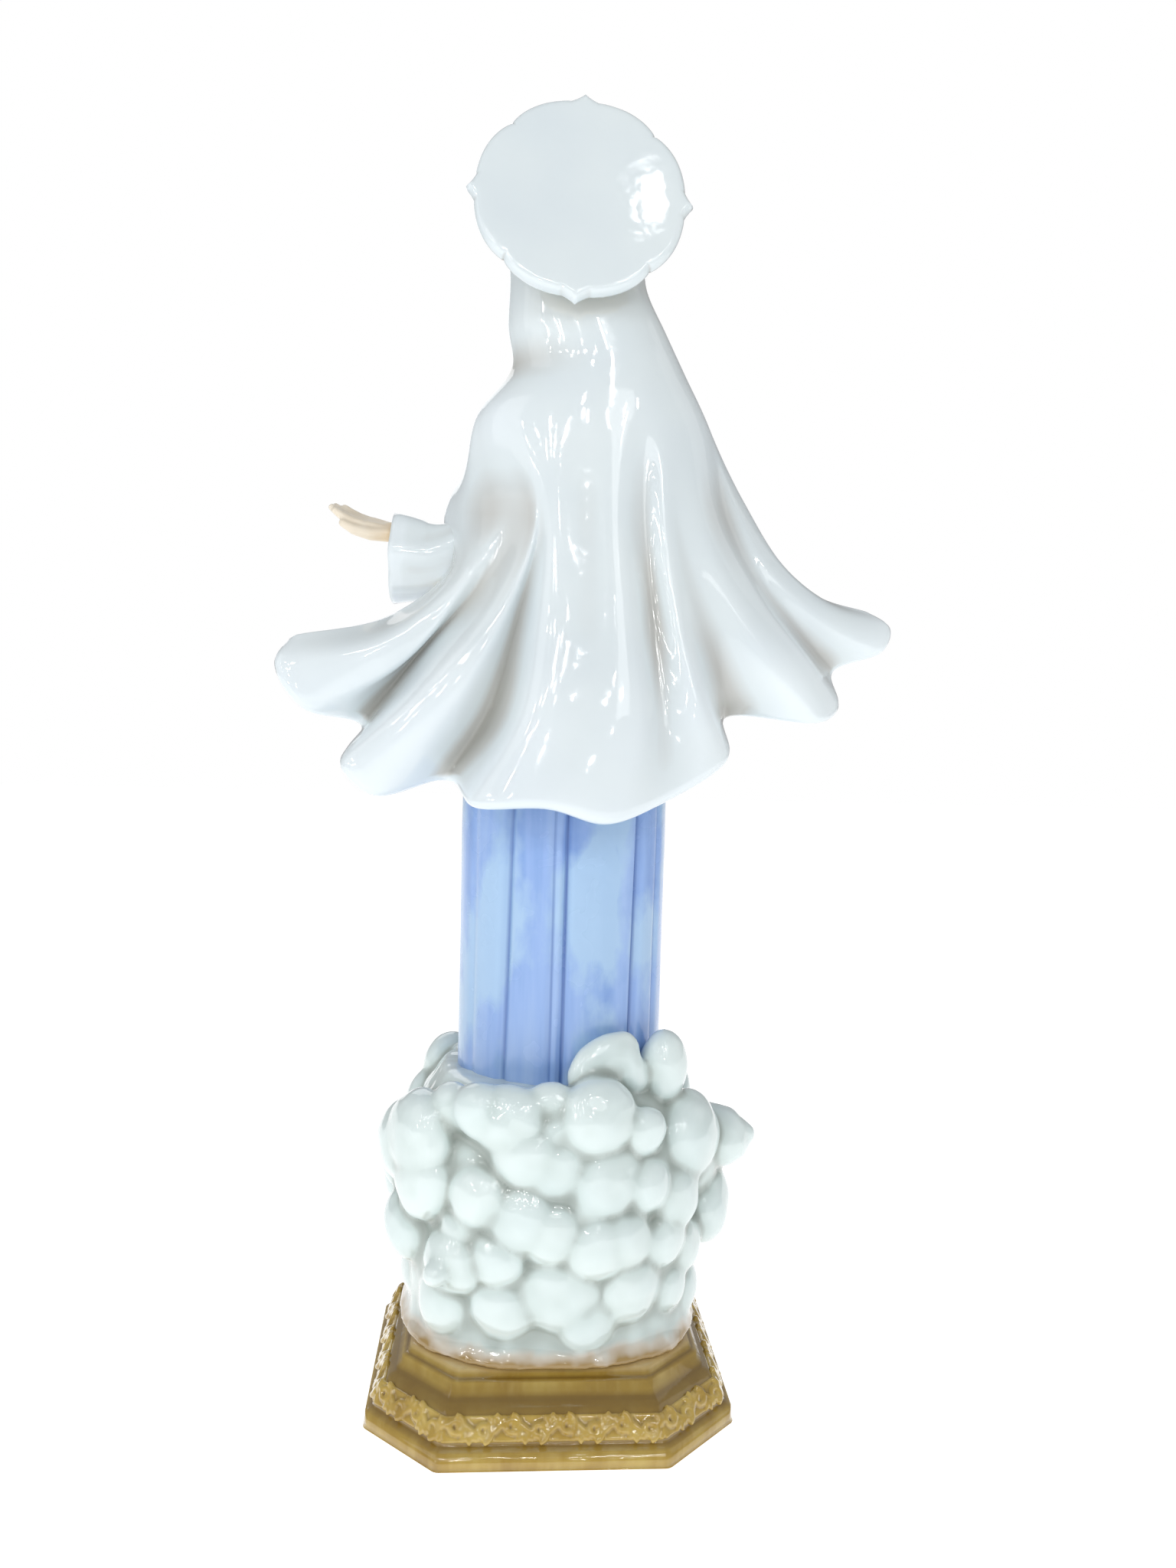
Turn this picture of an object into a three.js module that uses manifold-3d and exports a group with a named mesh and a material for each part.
// A glazed porcelain madonna standing in a bank of cloud on an eight-sided plinth.
// Millimetres, +Z up, the origin on the underside of the plinth. The figure faces -Y and its left is +X.
// The pieces are the separate castings that a figure maker lutes together with slip.

import * as THREE from 'three';
import { mergeVertices } from 'three/addons/utils/BufferGeometryUtils.js';
import Module from 'manifold-3d';

const wasm = await Module();
wasm.setup();
const radians = THREE.MathUtils.degToRad;

// ---- Driving dimensions ----

const jointGap = 0.3;            // slip joint between two luted castings
const castWall = 4;              // wall of a hollow casting

const plinthWidth = 107;
const plinthDepth = 107;
const plinthChamfer = 21.7;      // each corner is cut back this far along both sides
const plinthHeight = 22;
const plinthWall = 6;
const ventRadius = 7;            // the hole that lets the firing gases out of the plinth
const ventOffset = 28;           // from the middle of the underside towards the back

const cloudHalfWidth = 43;
const cloudHalfDepth = 41;
const cloudHeight = 74;          // from the plinth's top to the ring round the gown
const cloudWall = 7;
const cloudLip = 2;              // width of the ring that the gown stands in
const gownSeatDepth = 16;        // how far the gown's foot goes down into the cloud

const shoulderHeight = 290;      // everything above the waist is placed from here
const gownHalfWidth = 30.7;
const gownHalfDepth = 26;
const gownLean = new THREE.Vector2(-1.3, 0);   // where the column of the gown stands
const pleatDepth = 0.9;
const pleatHalfWidth = radians(3);

const neckRadius = 7;
const headHalfWidth = 14;
const headHalfDepth = 16;
const headHeight = 39;           // chin to crown

const mantleThickness = 2.8;
const hairAndVeil = 6;           // from the skull's side to the veil's outer face

const haloRadius = 32.3;
const haloThickness = 4.6;
const haloLean = radians(12);
const haloTurn = radians(2);

const handScale = 1;             // 1 is an open hand 24 mm long

// ---- Glazes ----

const glaze = {
  white: { color: 0xdfe8ea, roughness: 0.12, metalness: 0 },
  cloud: { color: 0xcfdfe0, roughness: 0.12, metalness: 0 },
  blue: { color: 0x8fabdc, roughness: 0.2, metalness: 0 },
  ochre: { color: 0xa98745, roughness: 0.16, metalness: 0 },
  flesh: { color: 0xe3d5c4, roughness: 0.4, metalness: 0 }
};

// ---- Shape helpers ----

function indexedGeometry(points, index) {
  const geometry = new THREE.BufferGeometry().setFromPoints(points);
  geometry.setIndex(index);
  return geometry;
}

function signedVolume(points, index) {
  const across = new THREE.Vector3();
  let volume = 0;
  for (let i = 0; i < index.length; i += 3) {
    across.crossVectors(points[index[i]], points[index[i + 1]]);
    volume += across.dot(points[index[i + 2]]) / 6;
  }
  return volume;
}

function facingOut(points, index) {
  if (signedVolume(points, index) > 0) return indexedGeometry(points, index);
  return indexedGeometry(points, index.slice().reverse());
}

// A closed surface through rings of equal point count. Looped rings run up the outside and
// down the inside of a wall; otherwise the first and last ring are capped.
function skin(rings, looped = false) {
  const count = rings[0].length;
  const points = rings.flat();
  const index = [];
  const bands = looped ? rings.length : rings.length - 1;
  for (let j = 0; j < bands; j++) {
    const here = j * count;
    const next = ((j + 1) % rings.length) * count;
    for (let i = 0; i < count; i++) {
      const side = (i + 1) % count;
      index.push(here + i, here + side, next + side);
      index.push(here + i, next + side, next + i);
    }
  }
  if (!looped) {
    capRing(points, index, 0, count, true);
    capRing(points, index, (rings.length - 1) * count, count, false);
  }
  return facingOut(points, index);
}

function capRing(points, index, start, count, reversed) {
  const middle = new THREE.Vector3();
  for (let i = 0; i < count; i++) middle.addScaledVector(points[start + i], 1 / count);
  const centre = points.length;
  points.push(middle);
  for (let i = 0; i < count; i++) {
    const a = start + i;
    const b = start + (i + 1) % count;
    if (reversed) index.push(centre, b, a);
    else index.push(centre, a, b);
  }
}

// A closed solid between two sheets of points with the same rows and columns.
function sheetSolid(outer, inner) {
  const rows = outer.length;
  const columns = outer[0].length;
  const points = [...outer.flat(), ...inner.flat()];
  const under = rows * columns;
  const index = [];
  const quad = (a, b, c, d) => index.push(a, b, c, a, c, d);
  for (let j = 0; j < rows - 1; j++) {
    for (let i = 0; i < columns - 1; i++) {
      const a = j * columns + i;
      quad(a, a + 1, a + columns + 1, a + columns);
      quad(under + a, under + a + columns, under + a + columns + 1, under + a + 1);
    }
  }
  const edge = (a, b) => quad(b, a, under + a, under + b);
  const last = (rows - 1) * columns;
  for (let i = 0; i < columns - 1; i++) {
    edge(i, i + 1);
    edge(last + i + 1, last + i);
  }
  for (let j = 0; j < rows - 1; j++) {
    edge((j + 1) * columns, j * columns);
    edge((j + 1) * columns - 1, (j + 2) * columns - 1);
  }
  return facingOut(points, index);
}

function toSolid(geometry) {
  const bare = geometry.clone();
  bare.deleteAttribute('normal');
  bare.deleteAttribute('uv');
  const merged = mergeVertices(bare, 1e-4);
  return new wasm.Manifold(new wasm.Mesh({
    numProp: 3,
    vertProperties: new Float32Array(merged.attributes.position.array),
    triVerts: new Uint32Array(merged.index.array)
  }));
}

function toGeometry(solid) {
  const mesh = solid.getMesh();
  const geometry = new THREE.BufferGeometry();
  const places = new Float32Array(mesh.vertProperties);
  geometry.setAttribute('position', new THREE.BufferAttribute(places, 3));
  geometry.setIndex(Array.from(mesh.triVerts));
  return geometry;
}

function cut(geometry, ...tools) {
  return toGeometry(tools.reduce((left, tool) => left.subtract(toSolid(tool)), toSolid(geometry)));
}

function join(...geometries) {
  return toGeometry(geometries.map(toSolid).reduce((all, next) => all.add(next)));
}

function ovalRing(count, centre, halfWidth, halfDepth, reach = () => 0) {
  return Array.from({ length: count }, (_, i) => {
    const angle = (i / count) * Math.PI * 2;
    const extra = reach(angle);
    const x = centre.x + (halfWidth + extra) * Math.cos(angle);
    const y = centre.y + (halfDepth + extra) * Math.sin(angle);
    return new THREE.Vector3(x, y, centre.z);
  });
}

// Rings square to a path, each [x, y, z, half across, half tall].
function limbRings(stations, count) {
  const places = stations.map(([x, y, z]) => new THREE.Vector3(x, y, z));
  return stations.map(([, , , across, tall], i) => {
    const before = places[Math.max(i - 1, 0)];
    const after = places[Math.min(i + 1, places.length - 1)];
    const along = after.clone().sub(before).normalize();
    const side = new THREE.Vector3().crossVectors(along, new THREE.Vector3(0, 0, 1)).normalize();
    const top = new THREE.Vector3().crossVectors(side, along);
    return Array.from({ length: count }, (_, k) => {
      const angle = (k / count) * Math.PI * 2;
      return places[i].clone()
        .addScaledVector(side, across * Math.cos(angle))
        .addScaledVector(top, tall * Math.sin(angle));
    });
  });
}

function limb(stations, count = 12) {
  return skin(limbRings(stations, count));
}

function piece(name, geometry, finish, height = 0) {
  const mesh = new THREE.Mesh(geometry, new THREE.MeshStandardMaterial(finish));
  mesh.name = name;
  mesh.position.z = height;
  return mesh;
}

// ---- Plinth ----

// The moulding's section: [height as a share of the plinth, setback from the flange].
const plinthSection = [
  [0, 0.6], [0.03, 0], [0.2, 0.1], [0.225, 1], [0.25, 1.9], [0.62, 6.6], [0.655, 8.2], [0.7, 8.3],
  [0.745, 6.9], [0.835, 6.7], [0.865, 8], [0.89, 7.3], [0.94, 7.5], [0.975, 9], [1, 11.5]
];

function octagonRing(height, setback) {
  const halfWidth = plinthWidth / 2 - setback;
  const halfDepth = plinthDepth / 2 - setback;
  const corner = plinthChamfer - setback * (2 - Math.SQRT2);
  const outline = [
    [halfWidth, -halfDepth + corner], [halfWidth, halfDepth - corner],
    [halfWidth - corner, halfDepth], [-halfWidth + corner, halfDepth],
    [-halfWidth, halfDepth - corner], [-halfWidth, -halfDepth + corner],
    [-halfWidth + corner, -halfDepth], [halfWidth - corner, -halfDepth]
  ];
  return outline.map(([x, y]) => new THREE.Vector3(x, y, height));
}

function plinth() {
  const rings = plinthSection.map(([share, setback]) => octagonRing(share * plinthHeight, setback));
  const inset = plinthWall + Math.max(...plinthSection.slice(0, -3).map(([, setback]) => setback));
  const hollow = skin([
    octagonRing(plinthWall, inset),
    octagonRing(plinthHeight - plinthWall, inset)
  ]);
  const vent = new THREE.CylinderGeometry(ventRadius, ventRadius, plinthWall * 3, 24);
  vent.rotateX(Math.PI / 2);
  vent.translate(0, ventOffset, 0);
  return piece('plinth', cut(skin(rings), hollow, vent), glaze.ochre);
}

// ---- Cloud ----

// Puffs standing out of the bank: [bearing from the figure's left towards the back, in degrees;
// height above the plinth; radius; reach beyond the bank's plain side].
const puffs = [
  [14, 48, 11, 11], [20, 64, 7, 2], [60, 65, 10, 4], [86, 72, 6.5, 1], [86, 64, 7, 4],
  [112, 67, 10, 5], [139, 59, 6.5, 2], [166, 54, 10.5, 10], [53, 43, 8, 4], [85, 55, 9.5, 8],
  [110, 50, 10, 7], [132, 46, 7, 3], [142, 34, 8.5, 5], [174, 30, 9, 12], [19, 26, 9, 9],
  [47, 26, 8.5, 6], [66, 28, 7, 5], [82, 39, 10, 10], [111, 33, 11, 8], [153, 12, 9, 5],
  [90, 20, 11, 7], [68, 15, 9, 5], [122, 14, 10, 5], [49, 11, 9, 4], [172, 12, 9, 3], [8, 10, 8, 2],
  [-12, 37, 10, 9], [-20, 18, 10, 7], [-28, 54, 9, 6], [-45, 34, 11, 6], [-50, 14, 10, 5],
  [-58, 56, 10, 6], [-75, 40, 11, 7], [-80, 18, 11, 7], [-88, 61, 9, 5], [-105, 30, 11, 8],
  [-112, 52, 10, 7], [-118, 13, 10, 6], [-135, 42, 10, 6], [-140, 20, 11, 6], [-150, 59, 9, 5],
  [-162, 34, 10, 9], [-168, 14, 10, 6], [-174, 52, 8, 6], [-35, 66, 7, 2], [-100, 70, 7, 2]
];

const cloudSquareness = 2.5;
const cloudShoulder = 0.74;      // the share of the height where the bank starts to close in

function ovalReach(bearing, halfWidth, halfDepth, power = 2) {
  const x = Math.abs(Math.cos(bearing) / halfWidth) ** power;
  const y = Math.abs(Math.sin(bearing) / halfDepth) ** power;
  return (x + y) ** (-1 / power);
}

function gownReach(bearing) {
  return ovalReach(bearing, gownHalfWidth, gownHalfDepth) + Math.abs(gownLean.x);
}

function cloudReach(bearing, height) {
  const side = ovalReach(bearing, cloudHalfWidth, cloudHalfDepth, cloudSquareness);
  const ring = gownReach(bearing) + jointGap + cloudLip;
  const closing = Math.max(0, (height / cloudHeight - cloudShoulder) / (1 - cloudShoulder));
  let reach = ring + (side - ring) * Math.sqrt(Math.max(0, 1 - closing * closing));
  for (const [degrees, puffHeight, radius, beyond] of puffs) {
    const turn = bearing - radians(degrees);
    const out = side + beyond - radius;
    const miss = (out * Math.sin(turn)) ** 2 + (height - puffHeight) ** 2;
    if (Math.cos(turn) <= 0 || miss >= radius * radius) continue;
    reach = Math.max(reach, out * Math.cos(turn) + Math.sqrt(radius * radius - miss));
  }
  return reach;
}

const cloudColumns = 56;
const cloudRows = 15;

function cloudRing(height, reach) {
  return Array.from({ length: cloudColumns }, (_, i) => {
    const bearing = (i / cloudColumns) * Math.PI * 2;
    const r = reach(bearing);
    return new THREE.Vector3(r * Math.cos(bearing), r * Math.sin(bearing), height);
  });
}

function cloudOutside(grow) {
  const rings = [];
  for (let j = 0; j <= cloudRows; j++) {
    const height = (j / cloudRows) * cloudHeight;
    const lift = j === cloudRows ? grow : 0;
    rings.push(cloudRing(height + lift, (b) => cloudReach(b, height) + grow));
  }
  return rings;
}

const cloudBase = plinthHeight + jointGap;

function cloudBank() {
  const socket = (b) => gownReach(b) + jointGap;
  const ledge = (b) => gownReach(b) - castWall;
  const hollow = (b) => ovalReach(b, cloudHalfWidth, cloudHalfDepth, cloudSquareness) - cloudWall;
  const seat = cloudHeight - gownSeatDepth;
  const rings = [
    ...cloudOutside(0),
    cloudRing(cloudHeight, socket),
    cloudRing(seat, socket),
    cloudRing(seat, ledge),
    cloudRing(seat - cloudWall, ledge),
    cloudRing(seat - 2 * cloudWall, hollow),
    cloudRing(0, hollow)
  ];
  return piece('cloud_bank', skin(rings, true), glaze.cloud, cloudBase);
}

// Puffs pressed by hand and luted on: [name, bearing, height above the plinth, distance from the
// axis, half sizes across, out and up, tilt in degrees, pointed share].
const appliedPuffs = [
  ['cloud_crest', 121, 80, 33, [14, 5, 11], 28, 0.35],
  ['cloud_crest_side', 160, 74, 34.5, [6.5, 6.5, 10.5], 0, 0],
  ['cloud_point', 175, 53, 55, [8, 11, 8], 0, 0.8],
  ['cloud_lobe', 8, 48, 50, [10, 8, 12], 0, 0],
  ['cloud_front_left', -52, 72, 33, [9, 7, 9], -10, 0],
  ['cloud_front_right', -128, 70, 33, [10, 7, 8], 10, 0]
];

function appliedPuff([name, degrees, height, distance, halfSizes, tilt, pointed]) {
  const bearing = radians(degrees);
  const blob = new THREE.SphereGeometry(1, 16, 12);
  const place = blob.attributes.position;
  for (let i = 0; i < place.count; i++) {
    const out = place.getY(i);
    const thin = out > 0 ? 1 - pointed * out * out : 1;
    const across = place.getX(i) * halfSizes[0] * thin;
    place.setXYZ(i, across, out * halfSizes[1], place.getZ(i) * halfSizes[2] * thin);
  }
  blob.rotateY(radians(tilt));
  blob.rotateZ(bearing - Math.PI / 2);
  blob.translate(distance * Math.cos(bearing), distance * Math.sin(bearing), height);
  const bank = skin(cloudOutside(jointGap));
  const column = gownOutside(jointGap);
  column.translate(0, 0, -cloudBase);
  return piece(name, cut(blob, bank, column), glaze.cloud, cloudBase);
}

// ---- Gown ----

// The body above the column: [height from the shoulders, x, y, half width, half depth].
const bodice = [
  [-75, -2, 0, 0.9, 0.86], [-45, -4, -1, 0.68, 0.66], [-22, -6, -3, 0.78, 0.7],
  [-5, -7.5, -2, 0.88, 0.6], [4, -8, -1.2, 0.76, 0.46], [11, -7.4, -0.8, 0.5, 0.36]
];
const columnTop = -110;          // where the straight column ends, from the shoulders
const neckSeat = new THREE.Vector3(-6.5, -0.8, 15);
const neckSocketDepth = 7;
const gownColumns = 56;

// Where the pleats are pressed in, in degrees from the figure's left towards the back.
const pleatBearings = [58, 87, 131, 154, 180, 205, 230, 252, 270, 288, 310, 335, 360, 392];

function pleat(angle) {
  const turns = pleatBearings.map((bearing) => Math.sin((angle - radians(bearing)) / 2) * 2);
  const nearest = Math.min(...turns.map(Math.abs));
  return -pleatDepth * Math.exp(-((nearest / pleatHalfWidth) ** 2));
}

const gownFoot = cloudBase + cloudHeight - gownSeatDepth + jointGap;

// Rings of the gown grown by a clearance, with the pleats at a share of their full depth.
function gownRings(grow, pleats) {
  const ring = (height, x, y, wide, deep, share) => ovalRing(
    gownColumns,
    new THREE.Vector3(x, y, height),
    gownHalfWidth * wide + grow,
    gownHalfDepth * deep + grow,
    (angle) => share * pleat(angle)
  );
  const column = [gownFoot, shoulderHeight + columnTop];
  const rings = column.map((height) => ring(height, gownLean.x, gownLean.y, 1, 1, pleats));
  bodice.forEach(([height, x, y, wide, deep], i) => {
    const fading = pleats * (1 - (i + 1) / bodice.length);
    rings.push(ring(shoulderHeight + height, x, y, wide, deep, fading));
  });
  return rings;
}

function neckRing(depth, grow) {
  const centre = new THREE.Vector3(neckSeat.x, neckSeat.y, shoulderHeight + neckSeat.z - depth);
  return ovalRing(gownColumns, centre, neckRadius + grow, neckRadius + grow);
}

function gownOutside(grow) {
  return skin([...gownRings(grow, 1), neckRing(-grow, castWall / 2 + grow)]);
}

function gown() {
  const socket = [
    neckRing(0, castWall / 2),
    neckRing(0, jointGap),
    neckRing(neckSocketDepth, jointGap)
  ];
  const inside = gownRings(-castWall, 0).slice(0, -2).reverse();
  return piece('gown', skin([...gownRings(0, 1), ...socket, ...inside], true), glaze.blue);
}

// ---- Mantle and veil ----

// Each fold line runs from the brow over the head and down to the hem. `round` is its bearing round
// the head and shoulders; `fall` holds [bearing, stand-off from the gown, height from the shoulders]
// from the elbows to the hem. Bearings run from the figure's left towards the back, in degrees.
const foldLines = [
  // Left front edge
  { round: -28, fall: [[-16, 10, -28], [-9, 6, -43], [8, 23, -60], [9, 51, -67]] },
  // Left wing, crest
  { round: 8, fall: [[9, 1, -29], [25, 7, -49], [21, 27, -69], [12, 56, -75]] },
  // Left wing, underside
  { round: 20, fall: [[32, -3, -31], [33, 7, -52], [22, 22, -75], [15, 48, -89]] },
  // Valley
  { round: 30, fall: [[47, -4, -31], [34, 2, -52], [18, 14, -70], [7, 31, -93]] },
  // Second fold, crest
  { round: 40, fall: [[61, -3, -33], [52, 4, -56], [39, 19, -80], [23, 40, -104]] },
  // Second fold, underside
  { round: 48, fall: [[67, -2, -34], [58, 4, -58], [44, 16, -86], [28, 31, -113]] },
  // Valley
  { round: 56, fall: [[69, -2, -34], [57, -2, -61], [45, 2, -88], [30, 10, -108]] },
  // Back panel, left edge
  { round: 68, fall: [[78, 0, -35], [76, 4, -62], [72, 12, -90], [56, 18, -114]] },
  // Back panel
  { round: 85, fall: [[95, 0, -34], [97, 6, -62], [95, 13, -90], [82, 16, -114]] },
  // Back panel, right edge
  { round: 100, fall: [[111, 2, -34], [113, 8, -61], [112, 15, -91], [102, 16, -118]] },
  // Long narrow valley
  { round: 111, fall: [[127, 2, -33], [128, 6, -61], [124, 14, -89], [123, 17, -112]] },
  // Right hip fold
  { round: 121, fall: [[132, 6, -33], [132, 13, -63], [135, 21, -86], [143, 25, -100]] },
  // Valley
  { round: 131, fall: [[140, 8, -33], [146, 15, -62], [154, 19, -81], [162, 18, -88]] },
  // Right wing, crest
  { round: 142, fall: [[150, 12, -32], [153, 23, -58], [158, 35, -76], [163, 45, -89]] },
  // Right wing, edge
  { round: 152, fall: [[159, 14, -30], [160, 26, -53], [164, 41, -71], [169, 51, -84]] },
  // Valley at the elbow
  { round: 162, fall: [[168, 16, -28], [167, 27, -48], [172, 41, -65], [176, 50, -73]] },
  // Right tip, underside
  { round: 171, fall: [[172, 19, -25], [169, 32, -47], [172, 49, -60], [174, 64, -67]] },
  // Right tip, crest
  { round: 182, fall: [[180, 22, -23], [173, 34, -43], [174, 49, -54], [176, 67, -59]] },
  // Right front edge
  { round: 208, fall: [[192, 22, -24], [184, 32, -40], [180, 46, -50], [178, 60, -54]] }
];

// Rings of the veil from the temples to the shoulders: [height from the shoulders, x, half width,
// half depth]. The upper ones clear the head, and the last one clears the gown.
const veilHalfWidth = headHalfWidth + hairAndVeil;
const shoulderRoom = 7.6;
const veilRings = [
  [53, -0.5, veilHalfWidth, 14.5],
  [39, -1.5, veilHalfWidth + 0.5, 16],
  [26, -4.5, veilHalfWidth + 3.8, 17.5],
  [14, -8.4, veilHalfWidth + 5.7, 19],
  [-2, -8, gownHalfWidth * 0.88 + shoulderRoom, 22]
];
const veilMiddle = -1;           // y of the veil's rings
// The veil over the crown, from the brow back: [in from the veil's side, y at the sides, how far back
// the middle lies, height from the shoulders at the sides, rise to the middle].
const crownRows = [[4, -12, -1, 62.5, 11], [3, -7, 3, 61.5, 14], [1.5, -4, 14, 58.5, 8]];
const rowsPerSpan = 2;
const columnsPerFold = 2;
const normalPasses = 4;

function crownPoints(bearing) {
  const first = foldLines[0].round;
  const last = foldLines[foldLines.length - 1].round;
  const sweep = ((bearing - first) / (last - first)) * Math.PI;
  const side = Math.cos(sweep);
  const lift = Math.sin(sweep);
  return crownRows.map(([inward, y, back, height, rise]) => (
    new THREE.Vector3(side * (veilHalfWidth - inward), y + back * lift, height + rise * lift)
  ));
}

function foldPoints({ round, fall }) {
  const bearing = radians(round);
  const points = crownPoints(round);
  for (const [height, x, halfWidth, halfDepth] of veilRings) {
    const across = x + halfWidth * Math.cos(bearing);
    points.push(new THREE.Vector3(across, veilMiddle + halfDepth * Math.sin(bearing), height));
  }
  for (const [degrees, standOff, height] of fall) {
    const angle = radians(degrees);
    const x = gownLean.x + (gownHalfWidth + standOff) * Math.cos(angle);
    const y = gownLean.y + (gownHalfDepth + standOff) * Math.sin(angle);
    points.push(new THREE.Vector3(x, y, height));
  }
  return points;
}

function mantleSheet() {
  const lines = foldLines.map((line) => new THREE.CatmullRomCurve3(foldPoints(line)));
  const spans = lines[0].points.length - 1;
  return Array.from({ length: spans * rowsPerSpan + 1 }, (_, j) => {
    const down = j / (spans * rowsPerSpan);
    const row = new THREE.CatmullRomCurve3(lines.map((line) => line.getPoint(down)));
    return row.getPoints((lines.length - 1) * columnsPerFold);
  });
}

// The sheet's outward normals, evened out over their neighbours so that the inner face of a tight
// fold doesn't cross itself.
function sheetNormals(sheet) {
  const within = (list, i) => list[THREE.MathUtils.clamp(i, 0, list.length - 1)];
  const pick = (grid, j, i) => within(within(grid, j), i);
  const map = (grid, make) => grid.map((row, j) => row.map((_, i) => make(j, i)));
  let normals = map(sheet, (j, i) => {
    const down = pick(sheet, j + 1, i).clone().sub(pick(sheet, j - 1, i));
    const across = pick(sheet, j, i + 1).clone().sub(pick(sheet, j, i - 1));
    return down.cross(across).normalize();
  });
  for (let pass = 0; pass < normalPasses; pass++) {
    const before = normals;
    normals = map(before, (j, i) => {
      const sum = pick(before, j, i).clone();
      for (const step of [-1, 1]) sum.add(pick(before, j + step, i)).add(pick(before, j, i + step));
      return sum.normalize();
    });
  }
  return normals;
}

function offsetSheet(sheet, normals, distance) {
  const moved = (point, normal) => point.clone().addScaledVector(normal, distance);
  return sheet.map((row, j) => row.map((point, i) => moved(point, normals[j][i])));
}

// The sheet with its four borders pushed outwards.
function widened(sheet, by) {
  const wide = sheet.map((row) => row.map((point) => point.clone()));
  const push = (point, from) => point.addScaledVector(point.clone().sub(from).normalize(), by);
  for (const [edge, beside] of [[0, 1], [sheet.length - 1, sheet.length - 2]]) {
    wide[edge].forEach((point, i) => push(point, sheet[beside][i]));
  }
  for (const row of wide) {
    push(row[0], row[1].clone());
    push(row[row.length - 1], row[row.length - 2].clone());
  }
  return wide;
}

function mantleSolid(grow) {
  const flat = mantleSheet();
  const normals = sheetNormals(flat);
  const sheet = grow > 0 ? widened(flat, grow) : flat;
  const outer = offsetSheet(sheet, normals, grow);
  return sheetSolid(outer, offsetSheet(sheet, normals, -mantleThickness - grow));
}

function mantle() {
  return piece('mantle', mantleSolid(0), glaze.white, shoulderHeight);
}

// ---- Arms ----

// Each sleeve: its outside, then its hollow from the cuff inwards, as stations
// [x, y, height from the shoulders, half across, half tall].
const sleeves = {
  left_sleeve: {
    outside: [
      [12, -2, -6, 6, 6], [19, -3, -22, 6, 6.5], [28, -6, -36, 6.5, 8], [39, -9, -42, 8, 11.2],
      [52, -11, -42, 9.5, 14]
    ],
    hollow: [[53, -11.2, -42, 7, 11.5], [37, -9, -41, 5, 8]]
  },
  right_sleeve: {
    outside: [
      [-29, -3, -8, 6, 6], [-37, -4, -20, 6.5, 6.5], [-44, -10, -29, 7, 8], [-40, -20, -30, 7.5, 10],
      [-30, -27, -27, 8, 12], [-20, -31, -24, 8.5, 13.5]
    ],
    hollow: [[-19, -31.4, -23.7, 6.2, 11], [-33, -25.6, -27, 4.5, 7.5]]
  }
};
const sleeveColumns = 16;

function grown(stations, by) {
  return stations.map(([x, y, z, across, tall]) => [x, y, z, across + by, tall + by]);
}

// The stations with the last one moved on, away from the one before it.
function lengthened(stations, by) {
  const last = stations.at(-1);
  const before = stations.at(-2);
  const length = Math.hypot(last[0] - before[0], last[1] - before[1], last[2] - before[2]);
  const moved = last.map((value, i) => (i < 3 ? value + (value - before[i]) * by / length : value));
  return [...stations.slice(0, -1), moved];
}

function sleeveSolid(name, grow) {
  const { outside, hollow } = sleeves[name];
  const arm = limb(grown(lengthened(outside, grow), grow), sleeveColumns);
  return cut(arm, limb(grown(hollow, -grow), sleeveColumns));
}

function torso(grow) {
  return gownOutside(grow).translate(0, 0, -shoulderHeight);
}

function sleeve(name) {
  const shell = cut(sleeveSolid(name, 0), torso(jointGap), mantleSolid(jointGap));
  return piece(name, largestPart(shell), glaze.white, shoulderHeight);
}

// A sleeve that brushes the mantle can leave a sliver on its far side; the casting is the largest part.
function largestPart(geometry) {
  const parts = toSolid(geometry).decompose();
  parts.sort((a, b) => b.volume() - a.volume());
  return toGeometry(parts[0]);
}

// A right hand along +X, palm up: the wrist's stump and palm, then each finger as [y, length].
const palm = [
  [-12, 0, 0, 3.2, 3.2], [-2, 0, 0, 3, 2.7], [3, 0, 0, 4, 2.5], [8, 0, 0.4, 4.6, 2.3], [11, 0, 0.8, 4, 1.9]
];
const fingers = [[-3.3, 9], [-1.1, 11], [1.1, 10.5], [3.2, 8.6]];
const knuckles = 9;              // x where the fingers start
const thumb = [[2, -3, 0, 1.9, 1.7], [7, -5.4, -0.2, 1.6, 1.5], [13, -5.6, 0.6, 1.1, 1]];
const fingerColumns = 8;

function openHand(side) {
  const sided = (stations) => stations.map(([x, y, ...rest]) => [x, side * y, ...rest]);
  const digits = fingers.map(([y, length]) => limb(sided([
    [knuckles, y, 0.6, 1.5, 1.5],
    [knuckles + length / 2, y, 1.6, 1.4, 1.3],
    [knuckles + length, y * 0.9, 3.4, 0.9, 0.8]
  ]), fingerColumns));
  return join(limb(palm), ...digits, limb(sided(thumb), fingerColumns));
}

// Each hand: 1 for a right hand, its turns about X, Y and Z in turn, and its wrist from the shoulders.
const handPlaces = {
  left_hand: { side: -1, turns: [-24, -12, -4], wrist: [52, -11, -33.7], sleeve: 'left_sleeve' },
  right_hand: { side: 1, turns: [-75, -22, 12], wrist: [-20, -29, -21], sleeve: 'right_sleeve' }
};

function hand(name) {
  const { side, turns, wrist, sleeve: around } = handPlaces[name];
  const shape = openHand(side);
  shape.scale(handScale, handScale, handScale);
  shape.rotateX(radians(turns[0]));
  shape.rotateY(radians(turns[1]));
  shape.rotateZ(radians(turns[2]));
  shape.translate(...wrist);
  const clear = cut(shape, torso(jointGap), mantleSolid(jointGap), sleeveSolid(around, jointGap));
  return piece(name, largestPart(clear), glaze.flesh, shoulderHeight);
}

// ---- Head ----

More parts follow.
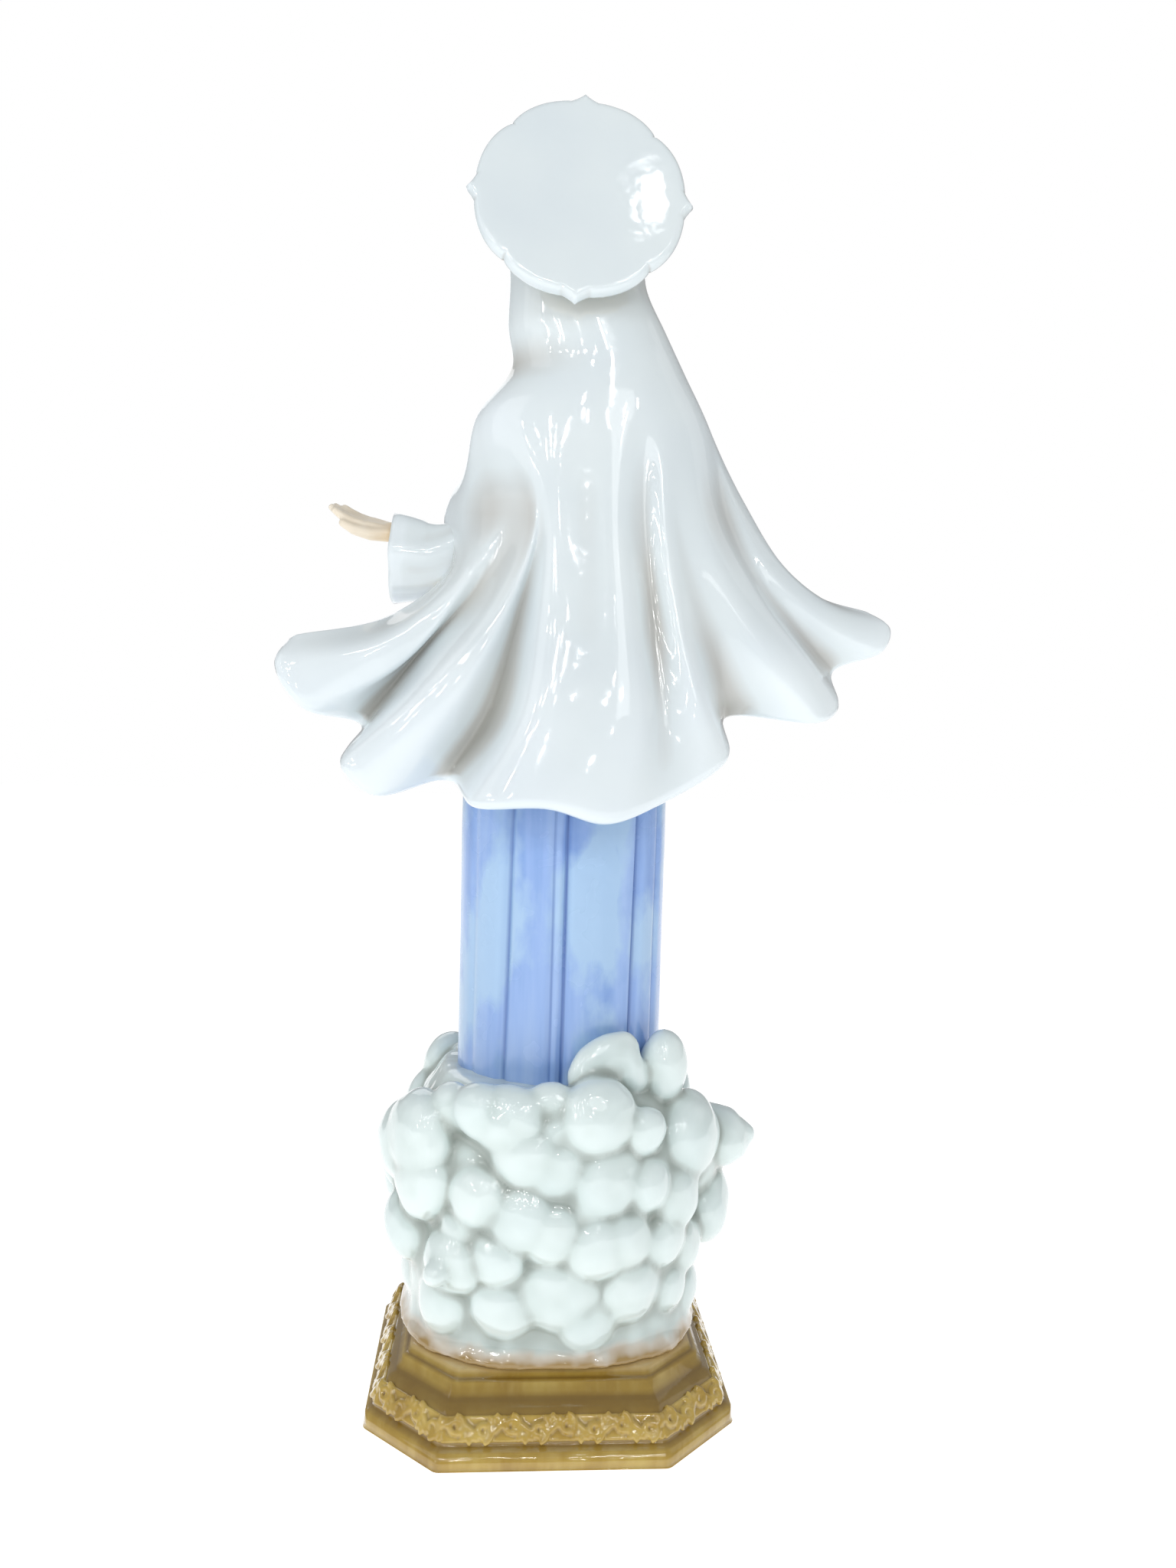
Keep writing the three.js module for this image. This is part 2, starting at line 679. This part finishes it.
// The neck as [height from the shoulders, x, y], then the head as [share of its height, x, y, and its
// half width and half depth as shares of the full ones].
const neckRings = [
  [neckSeat.z - neckSocketDepth + jointGap, neckSeat.x, neckSeat.y],
  [neckSeat.z + 1, neckSeat.x, neckSeat.y],
  [20, -5.8, -1.6],
  [27, -4.4, -3.6]
];
const headRings = [
  [0.02, -3, -7, 0.56, 0.6], [0.07, -2.6, -8.8, 0.66, 0.78], [0.2, -2, -8.2, 0.83, 0.9],
  [0.38, -1.5, -7.4, 0.94, 0.97], [0.56, -1, -7, 1, 1], [0.72, -0.8, -6.6, 0.97, 0.98],
  [0.86, -0.6, -6.2, 0.82, 0.85], [0.95, -0.5, -5.8, 0.56, 0.6], [1, -0.5, -5.8, 0.2, 0.2]
];
const chinHeight = 31;           // from the shoulders
const headColumns = 20;

function head() {
  const rings = neckRings.map(([height, x, y]) => (
    ovalRing(headColumns, new THREE.Vector3(x, y, height), neckRadius, neckRadius)
  ));
  for (const [share, x, y, wide, deep] of headRings) {
    const centre = new THREE.Vector3(x, y, chinHeight + share * headHeight);
    rings.push(ovalRing(headColumns, centre, wide * headHalfWidth, deep * headHalfDepth));
  }
  const shape = cut(skin(rings), mantleSolid(jointGap));
  return piece('head', largestPart(shape), glaze.flesh, shoulderHeight);
}

// ---- Halo ----

const haloCentre = new THREE.Vector3(-0.5, 14, 58);
const haloColumns = 96;
const haloPoints = 4;            // ogee points round the outline

// Four ogee points with a rounded lobe on each side of them and a notch between the lobes.
function haloOutline(angle) {
  const turns = (angle / (2 * Math.PI)) * haloPoints;
  const off = Math.abs(turns - Math.round(turns)) * 90;
  const point = 0.1 * Math.exp(-off / 6.5);
  const lobe = 0.042 * Math.sin(Math.PI * THREE.MathUtils.clamp((off - 8) / 37, 0, 1)) ** 0.6;
  return haloRadius * (0.9 + point + lobe);
}

function halo() {
  const outline = Array.from({ length: haloColumns }, (_, i) => {
    const angle = (i / haloColumns) * Math.PI * 2;
    const r = haloOutline(angle);
    return new THREE.Vector2(r * Math.cos(angle), r * Math.sin(angle));
  });
  const bevel = haloThickness * 0.3;
  const plate = new THREE.ExtrudeGeometry(new THREE.Shape(outline), {
    depth: haloThickness - 2 * bevel,
    bevelThickness: bevel,
    bevelSize: bevel,
    bevelOffset: -bevel,
    bevelSegments: 2
  });
  plate.translate(0, 0, -haloThickness / 2 + bevel);
  plate.rotateZ(haloTurn);
  plate.rotateX(Math.PI / 2 + haloLean);
  plate.translate(haloCentre.x, haloCentre.y + haloThickness / 2, haloCentre.z);
  return piece('halo', cut(plate, mantleSolid(jointGap)), glaze.white, shoulderHeight);
}

// ---- Assembly ----

const madonna = new THREE.Group();
madonna.add(
  plinth(),
  cloudBank(),
  ...appliedPuffs.map(appliedPuff),
  gown(),
  sleeve('left_sleeve'),
  sleeve('right_sleeve'),
  hand('left_hand'),
  hand('right_hand'),
  head(),
  mantle(),
  halo()
);

export default madonna;
